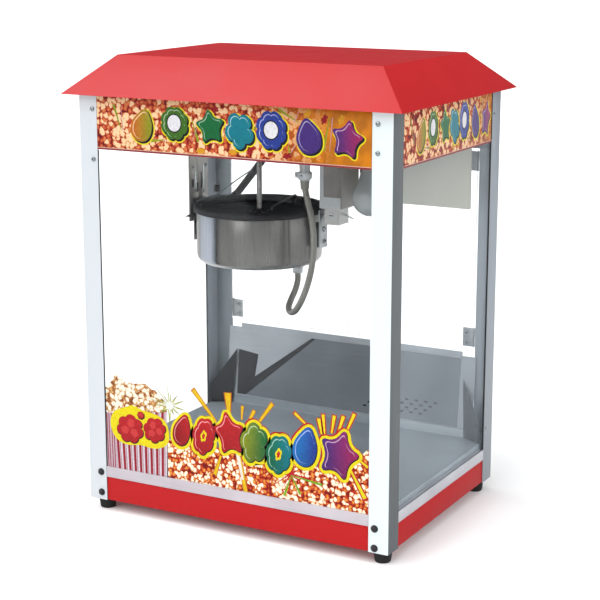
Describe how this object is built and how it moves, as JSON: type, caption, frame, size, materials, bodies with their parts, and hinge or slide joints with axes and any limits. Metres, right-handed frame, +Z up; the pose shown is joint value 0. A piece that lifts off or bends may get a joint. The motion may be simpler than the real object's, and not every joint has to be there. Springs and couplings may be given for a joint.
{
  "type": "popcorn cart",
  "caption": "Counter-top popcorn cart: glazed cabinet under a hipped red roof, with a tilting kettle, a motor-driven stirrer, lift-up lids and rear doors.",
  "frame": {"origin": "on the counter under the middle of the cabinet, which is also the middle of the roof", "axes": "+Z up, -Y the front that customers see, +Y the rear with the doors, +X the right-hand side seen from the front"},
  "size_m": [0.6048, 0.457, 0.7649],
  "materials": {
    "red_sheet": "gloss powder coat",
    "aluminium": "satin anodised",
    "pane_glass": "clear tempered glass",
    "door_acrylic": "clear acrylic sheet",
    "sign_print": "printed panel",
    "foot_rubber": "matte",
    "cabinet_steel": "brushed",
    "kettle_steel": "brushed, turned",
    "bright_steel": "bright",
    "conduit_steel": "interlocked spiral strip",
    "black_coating": "black non-stick coating",
    "beige_paint": "satin paint",
    "black_plastic": "moulded",
    "rocker_red": "moulded",
    "motor_casting": "die cast",
    "lamp_porcelain": "glazed porcelain",
    "opal_glass": "frosted"
  },
  "bodies": {
    "root": {"base_tub": "red_sheet", "bulb": "opal_glass", "ceiling_connector": "bright_steel", "ceiling_plate": "cabinet_steel", "channel_front": "aluminium", "channel_left": "aluminium", "channel_right": "aluminium", "conduit": "conduit_steel", "floor_pan": "cabinet_steel", "foot_front_left": "foot_rubber", "foot_front_right": "foot_rubber", "foot_rear_left": "foot_rubber", "foot_rear_right": "foot_rubber", "gearmotor": "motor_casting", "glass_front": "pane_glass", "glass_left": "pane_glass", "glass_right": "pane_glass", "guard_left": "cabinet_steel", "guard_right": "cabinet_steel", "hanger_left": "cabinet_steel", "hanger_right": "cabinet_steel", "lamp_holder": "lamp_porcelain", "mains_gland": "black_plastic", "post_front_left": "aluminium", "post_front_right": "aluminium", "post_rear_left": "aluminium", "post_rear_right": "aluminium", "rear_fascia": "cabinet_steel", "rear_sill": "cabinet_steel", "roof_shell": "red_sheet", "sign_front": "sign_print", "sign_left": "sign_print", "sign_right": "sign_print", "switch_bank": "black_plastic", "switch_cover": "beige_paint"},
    "door_left": {"door_left": "door_acrylic", "door_knob_left": "black_plastic", "hinge_lower_left": "cabinet_steel", "hinge_upper_left": "cabinet_steel"},
    "door_right": {"door_right": "door_acrylic", "door_knob_right": "black_plastic", "hinge_lower_right": "cabinet_steel", "hinge_upper_right": "cabinet_steel"},
    "rocker_light": {"rocker_light": "rocker_red"},
    "rocker_motor": {"rocker_motor": "rocker_red"},
    "rocker_kettle": {"rocker_kettle": "rocker_red"},
    "drive": {"drive_shaft": "bright_steel", "drive_coupling": "bright_steel"},
    "kettle": {"kettle_shell": "kettle_steel", "kettle_pan": "black_coating", "heating_element": "kettle_steel", "ear_left": "kettle_steel", "ear_right": "kettle_steel", "lid_bar": "black_coating", "dump_handle": "black_coating", "dump_knob": "black_plastic", "kettle_gland": "bright_steel"},
    "lid_front": {"lid_front": "black_coating"},
    "lid_rear": {"lid_rear": "black_coating"},
    "stirrer": {"stirrer": "bright_steel"}
  },
  "joints": [
    {"name": "kettle_tilt", "type": "hinge", "parent": "root", "child": "kettle", "pos_m": [-0.066, 0, 0.5], "axis": [1, 0, 0], "range_deg": [0, 100], "deforming": ["conduit"]},
    {"name": "lid_front_lift", "type": "hinge", "parent": "kettle", "child": "lid_front", "pos_m": [-0.066, -0.0065, 0.4985], "axis": [-1, 0, 0], "range_deg": [0, 75]},
    {"name": "lid_rear_lift", "type": "hinge", "parent": "kettle", "child": "lid_rear", "pos_m": [-0.066, 0.0065, 0.4985], "axis": [1, 0, 0], "range_deg": [0, 75]},
    {"name": "drive_spin", "type": "hinge", "parent": "root", "child": "drive", "pos_m": [-0.066, 0, 0.64], "axis": [0, 0, 1], "continuous": true},
    {"name": "stirrer_spin", "type": "hinge", "parent": "kettle", "child": "stirrer", "pos_m": [-0.066, 0, 0.55], "axis": [0, 0, 1], "continuous": true},
    {"name": "door_left_swing", "type": "hinge", "parent": "root", "child": "door_left", "pos_m": [-0.2475, 0.2133, 0.248], "axis": [0, 0, 1], "range_deg": [0, 110]},
    {"name": "door_right_swing", "type": "hinge", "parent": "root", "child": "door_right", "pos_m": [0.2475, 0.2133, 0.248], "axis": [0, 0, -1], "range_deg": [0, 110]},
    {"name": "rocker_light_press", "type": "hinge", "parent": "root", "child": "rocker_light", "pos_m": [0.125, 0.2083, 0.655], "axis": [1, 0, 0], "range_deg": [0, 20]},
    {"name": "rocker_motor_press", "type": "hinge", "parent": "root", "child": "rocker_motor", "pos_m": [0.149, 0.2083, 0.655], "axis": [1, 0, 0], "range_deg": [0, 20]},
    {"name": "rocker_kettle_press", "type": "hinge", "parent": "root", "child": "rocker_kettle", "pos_m": [0.173, 0.2083, 0.655], "axis": [1, 0, 0], "range_deg": [0, 20]}
  ],
  "couplings": [
    {"joint": "stirrer_spin", "follows": "drive_spin", "ratio": 1}
  ]
}
